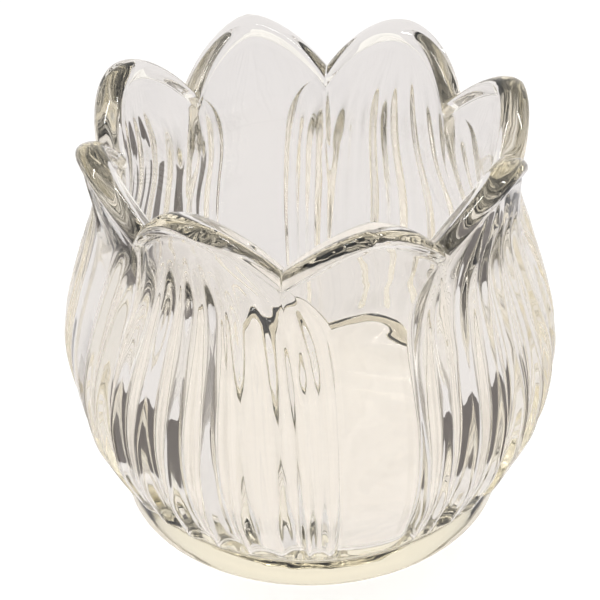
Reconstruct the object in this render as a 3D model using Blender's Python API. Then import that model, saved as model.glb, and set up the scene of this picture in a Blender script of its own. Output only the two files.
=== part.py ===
"""Tulip-shaped tealight holder: one piece of press-moulded clear glass.

Metres, +Z up. The origin is the centre of the foot's underside, so the holder stands on z = 0.
Eight petals stand round the axis, 45 degrees apart: smooth ones centred on the X and Y axes, and broad
ribbed ones between them, which overlap their neighbours and stand proud of them.

Angles are in degrees. A ribbed petal's own angle is counted from its middle. The wall is lofted up
columns of points that follow the grooves and the crests of the ribs, which fan out from the tip.
"""
import math

import bmesh
import bpy

# Rim: the centre line of the round bead along the top edge
TIP_HEIGHT = 0.0758
NOTCH_HEIGHT = 0.0658
TIP_RADIUS = 0.0377
NOTCH_RADIUS = 0.0344
BEAD_HALF_WIDTH = 0.0026
BEAD_HALF_HEIGHT = 0.0019
BEAD_DROP = 0.0016            # the wall meets the bead this far under its centre line
BEAD_START_TURN = 5.7         # and the bead's own curve begins this much further round
BEAD_SQUARENESS = 0.95        # 1 is an ellipse, less is fuller
SMOOTH_TIP_POWER = 1.55       # how pointed the smooth petals' tips are
RIBBED_TIP_POWER = 1.9        # the ribbed petals' tips are rounder

# Outer face of the smooth petals: (height, radius) from the foot to the notches
PROFILE = [
    (0.0068, 0.0360), (0.0095, 0.0371), (0.0140, 0.0393), (0.0200, 0.0419), (0.0260, 0.0432),
    (0.0320, 0.0437), (0.0380, 0.0431), (0.0440, 0.0416), (0.0500, 0.0398), (0.0560, 0.0381),
    (0.0610, 0.0370), (0.0660, 0.0365),
]
SMOOTH_CROWN = 0.0005         # the smooth petals are this much fuller at their middle
SMOOTH_CROWN_FADE = 0.0080    # it fades out over this height under the bead

# Ribbed petals: lines from the middle out to the petal's edge, in turn along a groove and a rib's crest.
# Each is given by its angle at the rim, its angle at the belly and the height over which it swings out.
HALF_PETAL = 22.5
SMOOTH_PETAL_ANGLE = 45.0     # middle of the next smooth petal, from a ribbed petal's middle
LINES = [
    (0.0, 0.0, 0.0130), (0.8, 4.6, 0.0150), (1.8, 9.3, 0.0180), (4.0, 13.4, 0.0180),
    (6.4, 17.5, 0.0180), (10.0, 21.8, 0.0170), (14.5, 26.0, 0.0160), (17.5, 28.4, 0.0120),
    (20.0, 30.9, 0.0090), (21.5, 33.3, 0.0060), (HALF_PETAL, 35.7, 0.0042),
    (SMOOTH_PETAL_ANGLE, SMOOTH_PETAL_ANGLE, 0.0010),
]
EDGE = len(LINES) - 2         # the petal's edge is this line; the last is the middle of the smooth petal

# Depth of the groove along each even line, over the width between the crests beside it
GROOVE_DEPTHS = {0: 0.28, 2: 0.38, 4: 0.16, 6: 0.38, 8: 0.28}
GROOVE_START = 0.0005         # grooves begin this far under the bead
GROOVE_RUN_IN = 0.0140        # and are at full depth this much lower
EDGE_STEP = 0.0013            # how far a ribbed petal's edge stands proud of the smooth petals
EDGE_ROUNDNESS = 0.95         # 0 is flat, 1 is a quarter circle
BELLY_CROWN = 0.0006          # extra fullness at a ribbed petal's middle
NECK_CROWN = -0.0004          # and how much of it is added under the tip
NECK_START = 0.0400
NECK_RISE = 0.0200
RIM_RELIEF = 0.25             # share of a ribbed petal's relief that is left at the bead
RELIEF_FADE = 0.0050
FOOT_FADE = 0.0035            # the relief rises out of the foot over this height

# The outer and inner faces bend to meet the bead: (start under the rim, height of the bend, tuck-in)
OUTER_BEND = (0.0180, 0.0164, 0.00098)
INNER_BEND = (0.0260, 0.0245, 0.00070)

# Inside, foot and base
WALL = 0.0046
INSIDE_DROP = 0.0018          # the inner wall meets the bead this far under its centre line
FLOOR_HEIGHT = 0.0085
FLOOR_CORNER = 0.0060         # height of the round corner between floor and wall
FLOOR_RADIUS = 0.0280
CORNER_FULLNESS = 0.75        # how square the corner is
FOOT_RADIUS = 0.0355
FOOT_HEIGHT = 0.0066
FOOT_ROUNDING = 0.0010
FOOT_TOP_ROUNDING = 0.0003
FOOT_FLARE = 0.0004           # the foot is this much wider at its top

# Mesh
COLUMNS_PER_SPAN = 2          # between one line and the next
COLUMNS_PER_HALF_SMOOTH_PETAL = 3
WALL_ROWS = 13
BEAD_ROWS = 4
INSIDE_ROWS = 4
INSIDE_SPACING = 0.8          # rows are this much closer towards the rim; 1 is even
CORNER_ROWS = 3
ARC_TURNS = [math.radians(turn) for turn in (0, 45, 90)]
SETTLING_STEPS = 30
SHARP_ANGLE = 40

WALL_FOOT = PROFILE[0][0]


def mix(a, b, t):
    return a + (b - a) * t


def smoothstep(t):
    t = min(max(t, 0.0), 1.0)
    return t * t * (3.0 - 2.0 * t)


def signed_power(value, power):
    return math.copysign(abs(value) ** power, value)


def profile_slope(k):
    """Slope of the profile at one of its points, from its neighbours."""
    last = len(PROFILE) - 1
    if k in (0, last):
        before, after = (PROFILE[0], PROFILE[1]) if k == 0 else (PROFILE[last - 1], PROFILE[last])
        return (after[1] - before[1]) / (after[0] - before[0])
    (h0, r0), (h1, r1), (h2, r2) = PROFILE[k - 1:k + 2]
    down, up = h1 - h0, h2 - h1
    return (down**2 * (r2 - r1) + up**2 * (r1 - r0)) / (down * up * (down + up))


def profile_radius(height):
    """Outer radius of the smooth petals: a smooth curve through the points of PROFILE."""
    height = min(max(height, PROFILE[0][0]), PROFILE[-1][0])
    k = next(i for i in range(len(PROFILE) - 1) if height <= PROFILE[i + 1][0])
    (h0, r0), (h1, r1) = PROFILE[k], PROFILE[k + 1]
    span = h1 - h0
    t = (height - h0) / span
    return ((2 * t**3 - 3 * t**2 + 1) * r0 + (t**3 - 2 * t**2 + t) * span * profile_slope(k)
            + (3 * t**2 - 2 * t**3) * r1 + (t**3 - t**2) * span * profile_slope(k + 1))


def rim_height(angle):
    """Height of the bead's centre line; angle is from the middle of a ribbed petal, up to 45."""
    ribbed = abs(angle) <= HALF_PETAL
    from_tip = abs(angle) if ribbed else max(SMOOTH_PETAL_ANGLE - abs(angle), 0.0)
    power = RIBBED_TIP_POWER if ribbed else SMOOTH_TIP_POWER
    return TIP_HEIGHT - (TIP_HEIGHT - NOTCH_HEIGHT) * (from_tip / HALF_PETAL) ** power


def rim_radius(angle):
    lift = (rim_height(angle) - NOTCH_HEIGHT) / (TIP_HEIGHT - NOTCH_HEIGHT)
    return mix(NOTCH_RADIUS, TIP_RADIUS, lift)


def line_angle(number, height):
    """Angle of a ribbed petal's line at a height. Negative numbers are the left-hand lines."""
    rim_angle, belly_angle, swing = LINES[abs(number)]
    below_rim = max(rim_height(rim_angle) - height, 0.0)
    return math.copysign(mix(rim_angle, belly_angle, 1.0 - math.exp(-below_rim / swing)), number)


def make_columns():
    """The columns of one ribbed petal and its two half smooth petals: (left line, right line, fraction)."""
    columns = []
    for left in range(-EDGE - 1, EDGE + 1):
        smooth = left in (-EDGE - 1, EDGE)
        steps = COLUMNS_PER_HALF_SMOOTH_PETAL if smooth else COLUMNS_PER_SPAN
        columns += [(left, left + 1, i / steps) for i in range(steps)]
    return columns


def column_angle(column, height):
    left, right, fraction = column
    return mix(line_angle(left, height), line_angle(right, height), fraction)


def column_point(column, fraction):
    """Angle and height on a column at a fraction of the way from the foot to the bead."""
    height = mix(WALL_FOOT, NOTCH_HEIGHT, fraction)
    angle = column_angle(column, height)
    for _ in range(SETTLING_STEPS):
        wanted = mix(WALL_FOOT, rim_height(angle) - BEAD_DROP, fraction)
        height = mix(height, wanted, 0.5)
        angle = column_angle(column, height)
    return angle, height


def groove_depth(column, height):
    """How deep the groove, or the petal's edge, cuts at a column."""
    left, right, fraction = column
    groove, away = (abs(left), fraction) if left % 2 == 0 else (abs(right), 1.0 - fraction)
    if groove == EDGE:
        flat = math.sqrt(1.0 - EDGE_ROUNDNESS**2)
        return EDGE_STEP * (1.0 - math.sqrt(1.0 - (EDGE_ROUNDNESS * (1.0 - away)) ** 2)) / (1.0 - flat)
    inner_crest = -line_angle(1, height) if groove == 0 else line_angle(groove - 1, height)
    width = math.radians(line_angle(groove + 1, height) - inner_crest) * profile_radius(height)
    return GROOVE_DEPTHS[groove] * width * (0.5 + 0.5 * math.cos(math.pi * away))


def relief(column, angle, height):
    """How far the outer face stands out from the smooth petals' profile."""
    left, right, _ = column
    under_bead = rim_height(angle) - BEAD_DROP - height
    rise = smoothstep((height - WALL_FOOT) / FOOT_FADE)
    edge_angle = line_angle(EDGE, height)
    if left < -EDGE or right > EDGE:
        across = (SMOOTH_PETAL_ANGLE - abs(angle)) / (SMOOTH_PETAL_ANGLE - edge_angle)
        return SMOOTH_CROWN * (1.0 - across**2) * rise * smoothstep(under_bead / SMOOTH_CROWN_FADE)
    middle = math.cos(math.pi / 2 * min(max(angle / edge_angle, -1.0), 1.0)) ** 2
    neck = NECK_CROWN * smoothstep((height - NECK_START) / NECK_RISE)
    crown = EDGE_STEP + (BELLY_CROWN + neck) * middle
    groove = groove_depth(column, height)
    if abs(left if left % 2 == 0 else right) != EDGE:
        groove *= smoothstep((under_bead - GROOVE_START) / GROOVE_RUN_IN)
    return (crown - groove) * rise * mix(RIM_RELIEF, 1.0, smoothstep(under_bead / RELIEF_FADE))


def outer_radius(column, angle, height):
    """The outer face: the profile and its relief, bent to meet the bead."""
    start, bend, tuck = OUTER_BEND
    under_rim = smoothstep((height - rim_height(angle) + start) / bend)
    face = profile_radius(height) + relief(column, angle, height)
    return mix(face, rim_radius(angle) + BEAD_HALF_WIDTH - tuck, under_rim)


def inner_radius(angle, height):
    """The smooth inner wall, which follows the outer profile and opens with the rim."""
    start, bend, tuck = INNER_BEND
    under_rim = smoothstep((height - rim_height(angle) + start) / bend)
    return mix(profile_radius(height) - WALL, rim_radius(angle) - BEAD_HALF_WIDTH + tuck, under_rim)


def foot_section():
    """(radius, height) of the foot's side, from the underside to the start of the wall."""
    underside = [(FOOT_RADIUS - FOOT_ROUNDING * (1.0 - math.sin(a)), FOOT_ROUNDING * (1.0 - math.cos(a)))
                 for a in ARC_TURNS]
    top = [(FOOT_RADIUS + FOOT_FLARE - FOOT_TOP_ROUNDING * (1.0 - math.cos(a)),
            FOOT_HEIGHT - FOOT_TOP_ROUNDING * (1.0 - math.sin(a))) for a in ARC_TURNS]
    return underside + top


def bead_section(angle):
    """(radius, height) over the bead from the outer wall to the inner one."""
    start = math.asin(-BEAD_DROP / BEAD_HALF_HEIGHT) + math.radians(BEAD_START_TURN)
    points = []
    for i in range(BEAD_ROWS + 1):
        a = mix(start, math.pi - start, i / BEAD_ROWS)
        radius = rim_radius(angle) + BEAD_HALF_WIDTH * signed_power(math.cos(a), BEAD_SQUARENESS)
        height = rim_height(angle) + BEAD_HALF_HEIGHT * signed_power(math.sin(a), BEAD_SQUARENESS)
        points.append((radius, height))
    return points


def inside_section(angle):
    """(radius, height) down the inner wall, then round the corner on a Bezier curve to the flat floor."""
    corner_top = FLOOR_HEIGHT + FLOOR_CORNER
    points = []
    for i in range(INSIDE_ROWS + 1):
        height = mix(rim_height(angle) - INSIDE_DROP, corner_top, (i / INSIDE_ROWS) ** INSIDE_SPACING)
        points.append((inner_radius(angle, height), height))
    wall_radius = points[-1][0]
    reach = FLOOR_CORNER * CORNER_FULLNESS
    radii = [wall_radius, wall_radius, mix(FLOOR_RADIUS, wall_radius, CORNER_FULLNESS), FLOOR_RADIUS]
    heights = [corner_top, corner_top - reach, FLOOR_HEIGHT, FLOOR_HEIGHT]
    for i in range(1, CORNER_ROWS + 1):
        t = i / CORNER_ROWS
        weights = [(1 - t) ** 3, 3 * t * (1 - t) ** 2, 3 * t**2 * (1 - t), t**3]
        radius = sum(weight * r for weight, r in zip(weights, radii))
        height = sum(weight * h for weight, h in zip(weights, heights))
        points.append((radius, height))
    return points


def column_section(column):
    """(angle, radius, height) of one column, from the foot's underside over the rim to the floor."""
    foot_angle, _ = column_point(column, 0.0)
    section = [(foot_angle, radius, height) for radius, height in foot_section()]
    for i in range(WALL_ROWS + 1):
        angle, height = column_point(column, i / WALL_ROWS)
        section.append((angle, outer_radius(column, angle, height), height))
    rim_angle = section[-1][0]
    section += [(rim_angle, radius, height) for radius, height in bead_section(rim_angle)]
    section += [(rim_angle, radius, height) for radius, height in inside_section(rim_angle)]
    return section


def make_glass():
    """Loft the columns of all four ribbed petals into one closed wall, and close the base and floor."""
    mesh = bmesh.new()
    sections = [column_section(column) for column in make_columns()]
    loops = []
    for quarter in range(4):
        petal_middle = SMOOTH_PETAL_ANGLE + 90.0 * quarter
        for section in sections:
            column = []
            for angle, radius, height in section:
                turn = math.radians(petal_middle + angle)
                column.append(mesh.verts.new((radius * math.sin(turn), -radius * math.cos(turn), height)))
            loops.append(column)
    for column, following in zip(loops, loops[1:] + loops[:1]):
        for row in range(len(column) - 1):
            mesh.faces.new((column[row], following[row], following[row + 1], column[row + 1]))
    underside = mesh.verts.new((0.0, 0.0, 0.0))
    floor = mesh.verts.new((0.0, 0.0, FLOOR_HEIGHT))
    for column, following in zip(loops, loops[1:] + loops[:1]):
        mesh.faces.new((underside, following[0], column[0]))
        mesh.faces.new((floor, column[-1], following[-1]))
    bmesh.ops.recalc_face_normals(mesh, faces=mesh.faces)
    data = bpy.data.meshes.new("tulip_glass")
    mesh.to_mesh(data)
    mesh.free()
    data.shade_smooth()
    data.set_sharp_from_angle(angle=math.radians(SHARP_ANGLE))
    return data


def clear_glass():
    material = bpy.data.materials.new("clear_glass")
    material.use_nodes = True
    shader = material.node_tree.nodes["Principled BSDF"]
    shader.inputs["Base Color"].default_value = (0.94, 0.95, 0.89, 1.0)
    shader.inputs["Roughness"].default_value = 0.02
    shader.inputs["Metallic"].default_value = 0.0
    shader.inputs["IOR"].default_value = 1.5
    shader.inputs["Transmission Weight"].default_value = 1.0
    return material


def main():
    for old in list(bpy.data.objects):
        bpy.data.objects.remove(old, do_unlink=True)
    collection = bpy.data.collections.new("tulip_tealight_holder")
    bpy.context.scene.collection.children.link(collection)
    glass = bpy.data.objects.new("tulip_glass", make_glass())
    glass.data.materials.append(clear_glass())
    collection.objects.link(glass)


main()
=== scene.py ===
"""Looks of the tulip-shaped tealight holder: one piece of clear pressed glass, the CAD shape built finer.

Metres, +Z up, the holder standing on z = 0. Angles are in degrees. A ribbed petal's own angle is counted
from its middle, and the four ribbed petals' middles stand at 45, 135, 225 and 315 degrees from -Y.
"""
import math

import bpy
import numpy as np
from mathutils import Matrix, Vector


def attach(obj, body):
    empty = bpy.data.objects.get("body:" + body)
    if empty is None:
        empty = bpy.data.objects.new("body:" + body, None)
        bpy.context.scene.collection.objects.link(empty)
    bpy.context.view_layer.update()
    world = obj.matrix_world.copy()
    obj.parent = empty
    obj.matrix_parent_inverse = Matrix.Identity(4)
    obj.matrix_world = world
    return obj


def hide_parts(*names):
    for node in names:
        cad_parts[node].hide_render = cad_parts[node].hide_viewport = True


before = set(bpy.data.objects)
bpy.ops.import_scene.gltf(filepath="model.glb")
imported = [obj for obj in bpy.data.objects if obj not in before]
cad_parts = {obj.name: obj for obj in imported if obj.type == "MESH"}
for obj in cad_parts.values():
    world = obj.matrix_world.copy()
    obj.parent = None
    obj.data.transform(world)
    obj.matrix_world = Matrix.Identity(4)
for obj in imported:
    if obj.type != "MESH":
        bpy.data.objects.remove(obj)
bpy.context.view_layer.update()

MM = 0.001

# ---------------------------------------------------------------- the glass, all in millimetres
# Rim: the centre line of the round bead along the top edge
TIP_HEIGHT = 75.8
NOTCH_HEIGHT = 65.8
TIP_RADIUS = 37.7
NOTCH_RADIUS = 34.4
BEAD_HALF_WIDTH = 2.6
BEAD_HALF_HEIGHT = 1.9
BEAD_DROP = 1.6               # the wall meets the bead this far under its centre line
BEAD_START_TURN = 5.7         # and the bead's own curve begins this much further round
BEAD_SQUARENESS = 0.95        # 1 is an ellipse, less is fuller
SMOOTH_TIP_POWER = 1.55       # how pointed the smooth petals' tips are
RIBBED_TIP_POWER = 1.9        # the ribbed petals' tips are rounder

# Outer face of the smooth petals, from the foot to the notches
PROFILE_HEIGHTS = np.array([6.8, 9.5, 14.0, 20.0, 26.0, 32.0, 38.0, 44.0, 50.0, 56.0, 61.0, 66.0])
PROFILE_RADII = np.array([36.0, 37.1, 39.3, 41.9, 43.2, 43.7, 43.1, 41.6, 39.8, 38.1, 37.0, 36.5])

# Ribbed petals: lines from the middle out to the petal's edge, in turn along a groove and a rib's crest.
# Each has its angle at the rim and at the belly, and the height over which it swings out.
HALF_PETAL = 22.5
SMOOTH_PETAL_ANGLE = 45.0     # middle of the next smooth petal, from a ribbed petal's middle
LINES = np.array([
    (0.0, 0.0, 13.0), (0.8, 4.6, 15.0), (1.8, 9.3, 18.0), (4.0, 13.4, 18.0), (6.4, 17.5, 18.0),
    (10.0, 21.8, 17.0), (14.5, 26.0, 16.0), (17.5, 28.4, 12.0), (20.0, 30.9, 9.0), (21.5, 33.3, 6.0),
    (HALF_PETAL, 35.7, 4.2), (SMOOTH_PETAL_ANGLE, SMOOTH_PETAL_ANGLE, 1.0),
])
EDGE = len(LINES) - 2         # the petal's edge is this line; the last is the middle of the smooth petal

# Depth of the groove along each line up to the edge, over the width between the crests beside it
GROOVE_DEPTHS = np.array([0.28, 0, 0.38, 0, 0.16, 0, 0.38, 0, 0.28, 0, 0])
GROOVE_START = 0.5            # grooves begin this far under the bead
GROOVE_RUN_IN = 14.0          # and are at full depth this much lower
EDGE_ROUNDNESS = 0.95         # 0 is flat, 1 is a quarter circle
EDGE_STEP = 1.3               # how far a ribbed petal's edge stands proud of the smooth petals
BELLY_CROWN = 0.6             # extra fullness at a ribbed petal's middle
NECK_CROWN = -0.4             # and how much of it is added under the tip
NECK_START = 40.0
NECK_RISE = 20.0
RIM_RELIEF = 0.25             # share of a ribbed petal's relief that is left at the bead
RELIEF_FADE = 5.0
SMOOTH_CROWN = 0.45           # the smooth petals are this much fuller at their middle
SMOOTH_CROWN_FADE = 8.0
FOOT_FADE = 3.5               # the relief rises out of the foot over this height

# The outer and inner faces bend to meet the bead: start under the rim, height of the bend, tuck-in
OUTER_BEND = (18.0, 16.4, 0.98)
INNER_BEND = (26.0, 24.5, 0.7)

# Inside, foot and base
WALL = 4.6
INSIDE_DROP = 1.8             # the inner wall meets the bead this far under its centre line
FLOOR_HEIGHT = 8.5
FLOOR_CORNER = 6.0            # height of the round corner between floor and wall
FLOOR_RADIUS = 28.0
CORNER_FULLNESS = 0.75        # how square the corner inside is
FOOT_RADIUS = 35.5
FOOT_HEIGHT = 6.6
FOOT_ROUNDING = 1.0
FOOT_TOP_ROUNDING = 0.3
FOOT_FLARE = 0.4              # the foot is this much wider at its top

# Mesh
COLUMNS_PER_SPAN = 6          # between one line and the next
COLUMNS_PER_HALF_SMOOTH_PETAL = 8
WALL_ROWS = 96
BEAD_ROWS = 20
INSIDE_ROWS = 40
CORNER_ROWS = 12
ARC_ROWS = 6
SETTLING_STEPS = 14
SETTLING_RATE = 0.6
WALL_FOOT = PROFILE_HEIGHTS[0]


def mix(a, b, t):
    return a + (b - a) * t


def smoothstep(t):
    t = np.clip(t, 0.0, 1.0)
    return t * t * (3.0 - 2.0 * t)


def profile_radius(height):
    """Outer radius of the smooth petals: a smooth curve through the profile's points."""
    slopes = np.gradient(PROFILE_RADII, PROFILE_HEIGHTS)
    height = np.clip(height, PROFILE_HEIGHTS[0], PROFILE_HEIGHTS[-1])
    k = np.clip(np.searchsorted(PROFILE_HEIGHTS, height) - 1, 0, len(PROFILE_HEIGHTS) - 2)
    span = PROFILE_HEIGHTS[k + 1] - PROFILE_HEIGHTS[k]
    t = (height - PROFILE_HEIGHTS[k]) / span
    return ((2 * t**3 - 3 * t**2 + 1) * PROFILE_RADII[k] + (t**3 - 2 * t**2 + t) * span * slopes[k]
            + (3 * t**2 - 2 * t**3) * PROFILE_RADII[k + 1] + (t**3 - t**2) * span * slopes[k + 1])


def rim_height(angle):
    """Height of the bead's centre line; angle is from the middle of a ribbed petal, up to 45."""
    away = np.abs(angle)
    ribbed = TIP_HEIGHT - (TIP_HEIGHT - NOTCH_HEIGHT) * (away / HALF_PETAL) ** RIBBED_TIP_POWER
    from_tip = np.maximum(SMOOTH_PETAL_ANGLE - away, 0.0)
    smooth = TIP_HEIGHT - (TIP_HEIGHT - NOTCH_HEIGHT) * (from_tip / HALF_PETAL) ** SMOOTH_TIP_POWER
    return np.where(away <= HALF_PETAL, ribbed, smooth)


def rim_radius(angle):
    lift = (rim_height(angle) - NOTCH_HEIGHT) / (TIP_HEIGHT - NOTCH_HEIGHT)
    return mix(NOTCH_RADIUS, TIP_RADIUS, lift)


def line_angle(number, height):
    """Angle of a ribbed petal's line at a height. Negative numbers are the left-hand lines."""
    line = LINES[np.abs(number)]
    below_rim = np.maximum(rim_height(line[..., 0]) - height, 0.0)
    return np.sign(number) * mix(line[..., 0], line[..., 1], 1.0 - np.exp(-below_rim / line[..., 2]))


def make_columns():
    """The columns of one ribbed petal and its two half smooth petals: left line, right line, fraction."""
    columns = []
    for left in range(-EDGE - 1, EDGE + 1):
        smooth = left in (-EDGE - 1, EDGE)
        steps = COLUMNS_PER_HALF_SMOOTH_PETAL if smooth else COLUMNS_PER_SPAN
        columns += [(left, left + 1, i / steps) for i in range(steps)]
    left, right, fraction = zip(*columns)
    return np.array(left), np.array(right), np.array(fraction)


LEFT, RIGHT, FRACTION = make_columns()


def column_angles(heights):
    """Angle of every column, each at its own height."""
    return mix(line_angle(LEFT, heights), line_angle(RIGHT, heights), FRACTION)


def wall_row(fraction):
    """Angles and heights of the columns at a fraction of the way from the foot to the bead."""
    heights = np.full(len(LEFT), mix(WALL_FOOT, NOTCH_HEIGHT, fraction))
    angles = column_angles(heights)
    for _ in range(SETTLING_STEPS):
        heights = mix(heights, mix(WALL_FOOT, rim_height(angles) - BEAD_DROP, fraction), SETTLING_RATE)
        angles = column_angles(heights)
    return angles, heights


def groove_depth(heights, under_bead):
    """How deep the grooves and the petal's edge cut at every column of the ribbed petal."""
    groove = np.abs(np.where(LEFT % 2 == 0, LEFT, RIGHT))
    away = np.where(LEFT % 2 == 0, FRACTION, 1.0 - FRACTION)
    inside = np.clip(groove, 1, EDGE - 1)
    width = line_angle(inside + 1, heights) - line_angle(inside - 1, heights)
    width = np.where(groove == 0, 2.0 * line_angle(np.ones_like(groove), heights), width)
    width = np.radians(width) * profile_radius(heights)
    depth = GROOVE_DEPTHS[np.minimum(groove, EDGE)] * width * (0.5 + 0.5 * np.cos(np.pi * away))
    depth = depth * smoothstep((under_bead - GROOVE_START) / GROOVE_RUN_IN)
    flat = math.sqrt(1 - EDGE_ROUNDNESS**2)
    step = EDGE_STEP * (1 - np.sqrt(1 - (EDGE_ROUNDNESS * (1 - away)) ** 2)) / (1 - flat)
    return np.where(groove == EDGE, step, depth)


def relief(angles, heights):
    """How far the outer face stands out from the smooth petals' profile."""
    under_bead = rim_height(angles) - BEAD_DROP - heights
    rise = smoothstep((heights - WALL_FOOT) / FOOT_FADE)
    edge_angles = line_angle(np.full(len(LEFT), EDGE), heights)
    across = (SMOOTH_PETAL_ANGLE - np.abs(angles)) / (SMOOTH_PETAL_ANGLE - edge_angles)
    smooth_petal = SMOOTH_CROWN * (1.0 - across**2) * rise * smoothstep(under_bead / SMOOTH_CROWN_FADE)

    middle = np.cos(np.pi / 2 * np.clip(angles / edge_angles, -1, 1)) ** 2
    neck = NECK_CROWN * smoothstep((heights - NECK_START) / NECK_RISE)
    crown = EDGE_STEP + (BELLY_CROWN + neck) * middle
    fade = mix(RIM_RELIEF, 1.0, smoothstep(under_bead / RELIEF_FADE))
    ribbed_petal = (crown - groove_depth(heights, under_bead)) * rise * fade
    return np.where((LEFT < -EDGE) | (RIGHT > EDGE), smooth_petal, ribbed_petal)


def outer_radius(angles, heights):
    """The outer face: the profile and its relief, bent to meet the bead."""
    start, bend, tuck = OUTER_BEND
    under_rim = smoothstep((heights - rim_height(angles) + start) / bend)
    face = profile_radius(heights) + relief(angles, heights)
    return mix(face, rim_radius(angles) + BEAD_HALF_WIDTH - tuck, under_rim)


def inner_radius(angles, heights):
    """The smooth inner wall, which follows the outer profile and opens with the rim."""
    start, bend, tuck = INNER_BEND
    under_rim = smoothstep((heights - rim_height(angles) + start) / bend)
    return mix(profile_radius(heights) - WALL, rim_radius(angles) - BEAD_HALF_WIDTH + tuck, under_rim)


def foot_rings(angles):
    arc = np.linspace(0, math.pi / 2, ARC_ROWS)
    for a in arc:
        yield angles, FOOT_RADIUS - FOOT_ROUNDING * (1 - math.sin(a)), FOOT_ROUNDING * (1 - math.cos(a))
    for a in arc:
        yield (angles, FOOT_RADIUS + FOOT_FLARE - FOOT_TOP_ROUNDING * (1 - math.cos(a)),
               FOOT_HEIGHT - FOOT_TOP_ROUNDING * (1 - math.sin(a)))


def signed_power(value, power):
    return math.copysign(abs(value) ** power, value)


def bead_rings(angles):
    start = math.asin(-BEAD_DROP / BEAD_HALF_HEIGHT) + math.radians(BEAD_START_TURN)
    for a in np.linspace(start, math.pi - start, BEAD_ROWS + 1):
        radii = rim_radius(angles) + BEAD_HALF_WIDTH * signed_power(math.cos(a), BEAD_SQUARENESS)
        heights = rim_height(angles) + BEAD_HALF_HEIGHT * signed_power(math.sin(a), BEAD_SQUARENESS)
        yield angles, radii, heights


def inside_rings(angles):
    """Down the inner wall, then round the corner on a Bezier curve to the flat floor."""
    corner_top = FLOOR_HEIGHT + FLOOR_CORNER
    for t in np.linspace(0, 1, INSIDE_ROWS + 1):
        heights = mix(rim_height(angles) - INSIDE_DROP, corner_top, t)
        yield angles, inner_radius(angles, heights), heights
    wall_radius = inner_radius(angles, corner_top)
    slope = inner_radius(angles, corner_top + 1.0) - wall_radius      # over the next millimetre up
    reach = FLOOR_CORNER * CORNER_FULLNESS
    full_radius = mix(FLOOR_RADIUS, wall_radius, CORNER_FULLNESS)
    radii = [wall_radius, wall_radius - slope * reach, full_radius, FLOOR_RADIUS]
    heights = [corner_top, corner_top - reach, FLOOR_HEIGHT, FLOOR_HEIGHT]
    for t in np.linspace(0, 1, CORNER_ROWS + 1)[1:]:
        weights = [(1 - t)**3, 3 * t * (1 - t)**2, 3 * t**2 * (1 - t), t**3]
        radius = sum(weight * r for weight, r in zip(weights, radii))
        height = sum(weight * h for weight, h in zip(weights, heights))
        yield angles, radius, height


def glass_rings():
    """(angles, radii, heights) of every ring, from the foot's underside over the rim to the floor inside."""
    foot_angles, _ = wall_row(0.0)
    yield from foot_rings(foot_angles)
    for fraction in np.linspace(0, 1, WALL_ROWS + 1):
        angles, heights = wall_row(fraction)
        yield angles, outer_radius(angles, heights), heights
    yield from bead_rings(angles)
    yield from inside_rings(angles)


def make_glass():
    """One closed wall lofted round the four ribbed petals, with the base and the floor closed by fans."""
    count = len(LEFT)
    rings = []
    for angles, radii, heights in glass_rings():
        heights = np.broadcast_to(heights, count)
        for quarter in range(4):
            turn = np.radians(SMOOTH_PETAL_ANGLE + 90.0 * quarter + angles)
            rings.append(np.stack([radii * np.sin(turn), -radii * np.cos(turn), heights], axis=1))
    around = 4 * count
    centres = np.array([[0.0, 0.0, 0.0], [0.0, 0.0, FLOOR_HEIGHT]])
    points = np.concatenate(rings + [centres])
    index = np.arange(len(rings) * count).reshape(-1, around)
    below, above = index[:-1], index[1:]
    quads = np.stack([below, np.roll(below, -1, 1), np.roll(above, -1, 1), above], axis=-1).reshape(-1, 4)
    underside, floor = len(points) - 2, len(points) - 1
    fans = [(underside, int(b), int(a)) for a, b in zip(index[0], np.roll(index[0], -1))]
    fans += [(floor, int(a), int(b)) for a, b in zip(index[-1], np.roll(index[-1], -1))]
    mesh = bpy.data.meshes.new("clear_tulip_glass")
    mesh.from_pydata((points * MM).tolist(), [], quads.tolist() + fans)
    mesh.update()
    mesh.shade_smooth()
    glass = bpy.data.objects.new("clear_tulip_glass", mesh)
    bpy.context.scene.collection.objects.link(glass)
    return glass


# ---------------------------------------------------------------- materials
GLASS_TINT = (0.972, 0.955, 0.925, 1.0)
GLASS_ABSORPTION = (0.88, 0.74, 0.26, 1.0)
GLASS_DENSITY = 5.0
GLASS_IOR = 1.5
RIPPLE_SCALE = 90.0
RIPPLE_STRENGTH = 0.15
RIPPLE_DEPTH = 0.0002
WORST_POLISH = 0.06           # roughness in the least polished spots
WORN_FROM = 0.55              # where the noise is below this, the surface is perfectly smooth


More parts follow.
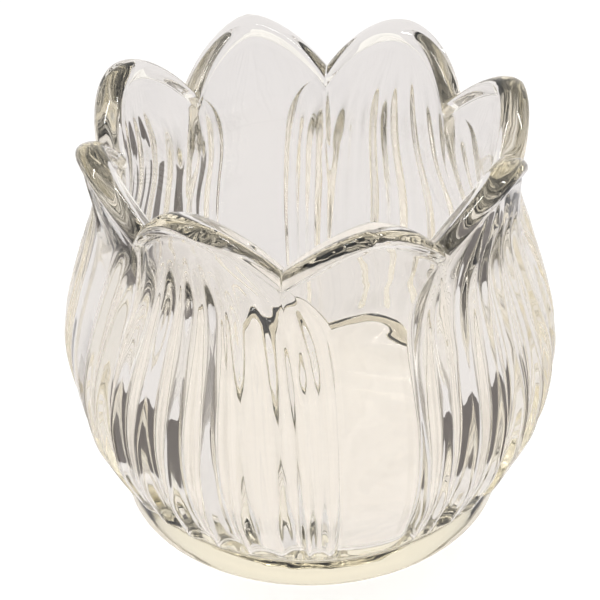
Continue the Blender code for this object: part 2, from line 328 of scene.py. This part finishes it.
def clear_glass():
    """Slightly warm soda glass: its colour deepens with thickness, and its pressed surface waves a little."""
    material = bpy.data.materials.new("clear_glass")
    material.use_nodes = True
    nodes, links = material.node_tree.nodes, material.node_tree.links
    shader = nodes["Principled BSDF"]
    shader.inputs["Base Color"].default_value = GLASS_TINT
    shader.inputs["IOR"].default_value = GLASS_IOR
    shader.inputs["Transmission Weight"].default_value = 1.0
    uneven = nodes.new("ShaderNodeTexNoise")
    uneven.inputs["Scale"].default_value = RIPPLE_SCALE
    uneven.inputs["Detail"].default_value = 2.0
    ripple = nodes.new("ShaderNodeBump")
    ripple.inputs["Strength"].default_value = RIPPLE_STRENGTH
    ripple.inputs["Distance"].default_value = RIPPLE_DEPTH
    place = nodes.new("ShaderNodeTexCoord")
    links.new(place.outputs["Object"], uneven.inputs["Vector"])
    links.new(uneven.outputs["Fac"], ripple.inputs["Height"])
    links.new(ripple.outputs["Normal"], shader.inputs["Normal"])
    polish = nodes.new("ShaderNodeMapRange")
    polish.inputs["From Min"].default_value = WORN_FROM
    polish.inputs["From Max"].default_value = 1.0
    polish.inputs["To Min"].default_value = 0.0
    polish.inputs["To Max"].default_value = WORST_POLISH
    links.new(uneven.outputs["Fac"], polish.inputs["Value"])
    links.new(polish.outputs["Result"], shader.inputs["Roughness"])
    absorption = nodes.new("ShaderNodeVolumeAbsorption")
    absorption.inputs["Color"].default_value = GLASS_ABSORPTION
    absorption.inputs["Density"].default_value = GLASS_DENSITY
    links.new(absorption.outputs["Volume"], nodes["Material Output"].inputs["Volume"])
    return material


# ---------------------------------------------------------------- camera, floor and light
CAMERA_AZIMUTH = -15.6        # from -Y, round the holder's axis
CAMERA_ELEVATION = 39.23
CAMERA_DISTANCE = 0.4124      # from the foot's centre
CAMERA_PITCH = 34.86          # how far below the horizon it looks
CAMERA_YAW = -0.29
CAMERA_ROLL = -1.27
CAMERA_LENS = 127.7           # in millimetres, like the sensor
CAMERA_SENSOR = 36.0


def add_camera():
    turn = Matrix.Rotation(math.radians(CAMERA_AZIMUTH), 3, "Z")
    elevation = math.radians(CAMERA_ELEVATION)
    place = CAMERA_DISTANCE * Vector((0.0, -math.cos(elevation), math.sin(elevation)))
    look = (Matrix.Rotation(-math.radians(CAMERA_YAW), 3, "Z")
            @ Matrix.Rotation(math.radians(90.0 - CAMERA_PITCH), 3, "X")
            @ Matrix.Rotation(math.radians(CAMERA_ROLL), 3, "Z"))
    data = bpy.data.cameras.new("camera")
    data.sensor_width = CAMERA_SENSOR
    data.lens = CAMERA_LENS
    data.clip_start = 0.01
    camera = bpy.data.objects.new("camera", data)
    bpy.context.scene.collection.objects.link(camera)
    camera.matrix_world = Matrix.Translation(turn @ place) @ (turn @ look).to_4x4()
    bpy.context.scene.camera = camera


PAPER_SCALE = 6.0
TONE_SPREAD = 0.015           # how much the floor's and the cards' paper varies either way


def plain_surface(name, points, faces, colour):
    """A stage surface of matt paper, very slightly uneven in tone."""
    mesh = bpy.data.meshes.new(name)
    mesh.from_pydata(points, [], faces)
    surface = bpy.data.objects.new(name, mesh)
    bpy.context.scene.collection.objects.link(surface)
    material = bpy.data.materials.new(name)
    material.use_nodes = True
    nodes, links = material.node_tree.nodes, material.node_tree.links
    shader = nodes["Principled BSDF"]
    paper = nodes.new("ShaderNodeTexNoise")
    paper.inputs["Scale"].default_value = PAPER_SCALE
    tones = nodes.new("ShaderNodeMix")
    tones.data_type = "RGBA"
    low, high = tones.inputs[6], tones.inputs[7]
    low.default_value = (*[(1.0 - TONE_SPREAD) * c for c in colour], 1.0)
    high.default_value = (*[min((1.0 + TONE_SPREAD) * c, 1.0) for c in colour], 1.0)
    links.new(paper.outputs["Fac"], tones.inputs[0])
    links.new(tones.outputs[2], shader.inputs["Base Color"])
    shader.inputs["Roughness"].default_value = 1.0
    shader.inputs["Specular IOR Level"].default_value = 0.0
    mesh.materials.append(material)
    return surface


def seen_only_through_glass(surface):
    surface.visible_camera = False
    surface.visible_shadow = False
    surface.visible_diffuse = False


def square(half, z):
    return [(-half, -half, z), (half, -half, z), (half, half, z), (-half, half, z)]


FLOOR_HALF = 3.0
FLOOR_Z = -0.0002             # just under the glass, so that the two don't touch
FLOOR_COLOUR = (0.93, 0.93, 0.93)
CARD_HALF = 0.3
CARD_Z = -0.0001
# painted shade: the floor seen through the glass is darker than where the camera sees it directly
PAINTED_SHADE_CARD_COLOUR = (0.69, 0.685, 0.715)


def add_floor():
    """The pale floor, and a slightly darker card, seen only through the glass, that paints the glass's shade
    onto the floor there.
    """
    plain_surface("floor", square(FLOOR_HALF, FLOOR_Z), [(0, 1, 2, 3)], FLOOR_COLOUR)
    seen_only_through_glass(plain_surface("card", square(CARD_HALF, CARD_Z), [(0, 1, 2, 3)], PAINTED_SHADE_CARD_COLOUR))


# Dark cards on the floor beside the holder, hidden from the camera, which paint dark reflections into the
# glass:
# the azimuths of both ends, counted from the camera's, and the near and far radius
FLAGS = [(-105, -60, 0.050, 0.105), (60, 105, 0.050, 0.105), (-148, -132, 0.100, 0.140)]
FLAG_Z = 0.0005
FLAG_STEPS = 24
# painted dark reflection: the dark streaks these cards put into the glass
PAINTED_DARK_REFLECTION_COLOUR = (0.11, 0.100, 0.100)


def add_flag(name, start, end, near, far):
    """A dark card on the floor, a sector of a ring, seen only through the glass: a painted dark reflection.
    """
    points = []
    for i in range(FLAG_STEPS + 1):
        a = math.radians(mix(start, end, i / FLAG_STEPS) + CAMERA_AZIMUTH)
        points += [(r * math.sin(a), -r * math.cos(a), FLAG_Z) for r in (near, far)]
    faces = [(2 * i, 2 * i + 1, 2 * i + 3, 2 * i + 2) for i in range(FLAG_STEPS)]
    seen_only_through_glass(plain_surface(name, points, faces, PAINTED_DARK_REFLECTION_COLOUR))


def add_flags():
    for i, flag in enumerate(FLAGS):
        add_flag(f"flag_{i}", *flag)


# Strip lights: azimuth counted from the camera's, elevation, distance, width, length, watts
SOFTBOXES = [(-60.0, 60.0, 0.7, 0.03, 0.3, 0.7), (75.0, 55.0, 0.7, 0.03, 0.3, 0.7)]
WORLD_LOW = 1.02              # strength of the light from the horizon
WORLD_HIGH = 1.0              # and from overhead
WORLD_COLOUR = (1.0, 0.985, 0.96)


def add_softbox(name, azimuth, elevation, distance, width, length, power):
    """A strip light that faces the glass."""
    a, e = math.radians(azimuth + CAMERA_AZIMUTH), math.radians(elevation)
    data = bpy.data.lights.new(name, "AREA")
    data.shape = "RECTANGLE"
    data.size = width
    data.size_y = length
    data.energy = power
    light = bpy.data.objects.new(name, data)
    bpy.context.scene.collection.objects.link(light)
    place = Vector((math.sin(a) * math.cos(e), -math.cos(a) * math.cos(e), math.sin(e)))
    light.location = place * distance
    light.rotation_euler = place.to_track_quat("Z", "Y").to_euler()


def add_light():
    """Soft light from all round, a little brighter from the horizon, and the strip lights."""
    for i, softbox in enumerate(SOFTBOXES):
        add_softbox(f"softbox_{i}", *softbox)
    world = bpy.data.worlds.new("soft_light")
    bpy.context.scene.world = world
    world.use_nodes = True
    nodes, links = world.node_tree.nodes, world.node_tree.links
    coordinates = nodes.new("ShaderNodeTexCoord")
    split = nodes.new("ShaderNodeSeparateXYZ")
    gradient = nodes.new("ShaderNodeMapRange")
    gradient.inputs["From Min"].default_value = -0.1
    gradient.inputs["From Max"].default_value = 1.0
    gradient.inputs["To Min"].default_value = WORLD_LOW
    gradient.inputs["To Max"].default_value = WORLD_HIGH
    links.new(coordinates.outputs["Generated"], split.inputs["Vector"])
    links.new(split.outputs["Z"], gradient.inputs["Value"])
    background = nodes["Background"]
    background.inputs["Color"].default_value = (*WORLD_COLOUR, 1.0)
    links.new(gradient.outputs["Result"], background.inputs["Strength"])
    world.cycles.sampling_method = "MANUAL"
    world.cycles.sample_map_resolution = 256


# ---------------------------------------------------------------- the scene
add_camera()
add_floor()
add_flags()
add_light()

glass = make_glass()
glass.data.materials.append(clear_glass())
glass.visible_shadow = False
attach(glass, "root")
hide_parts("tulip_glass")

scene = bpy.context.scene
scene.view_settings.view_transform = "Standard"
scene.cycles.max_bounces = 20
scene.cycles.transmission_bounces = 16
scene.cycles.glossy_bounces = 8
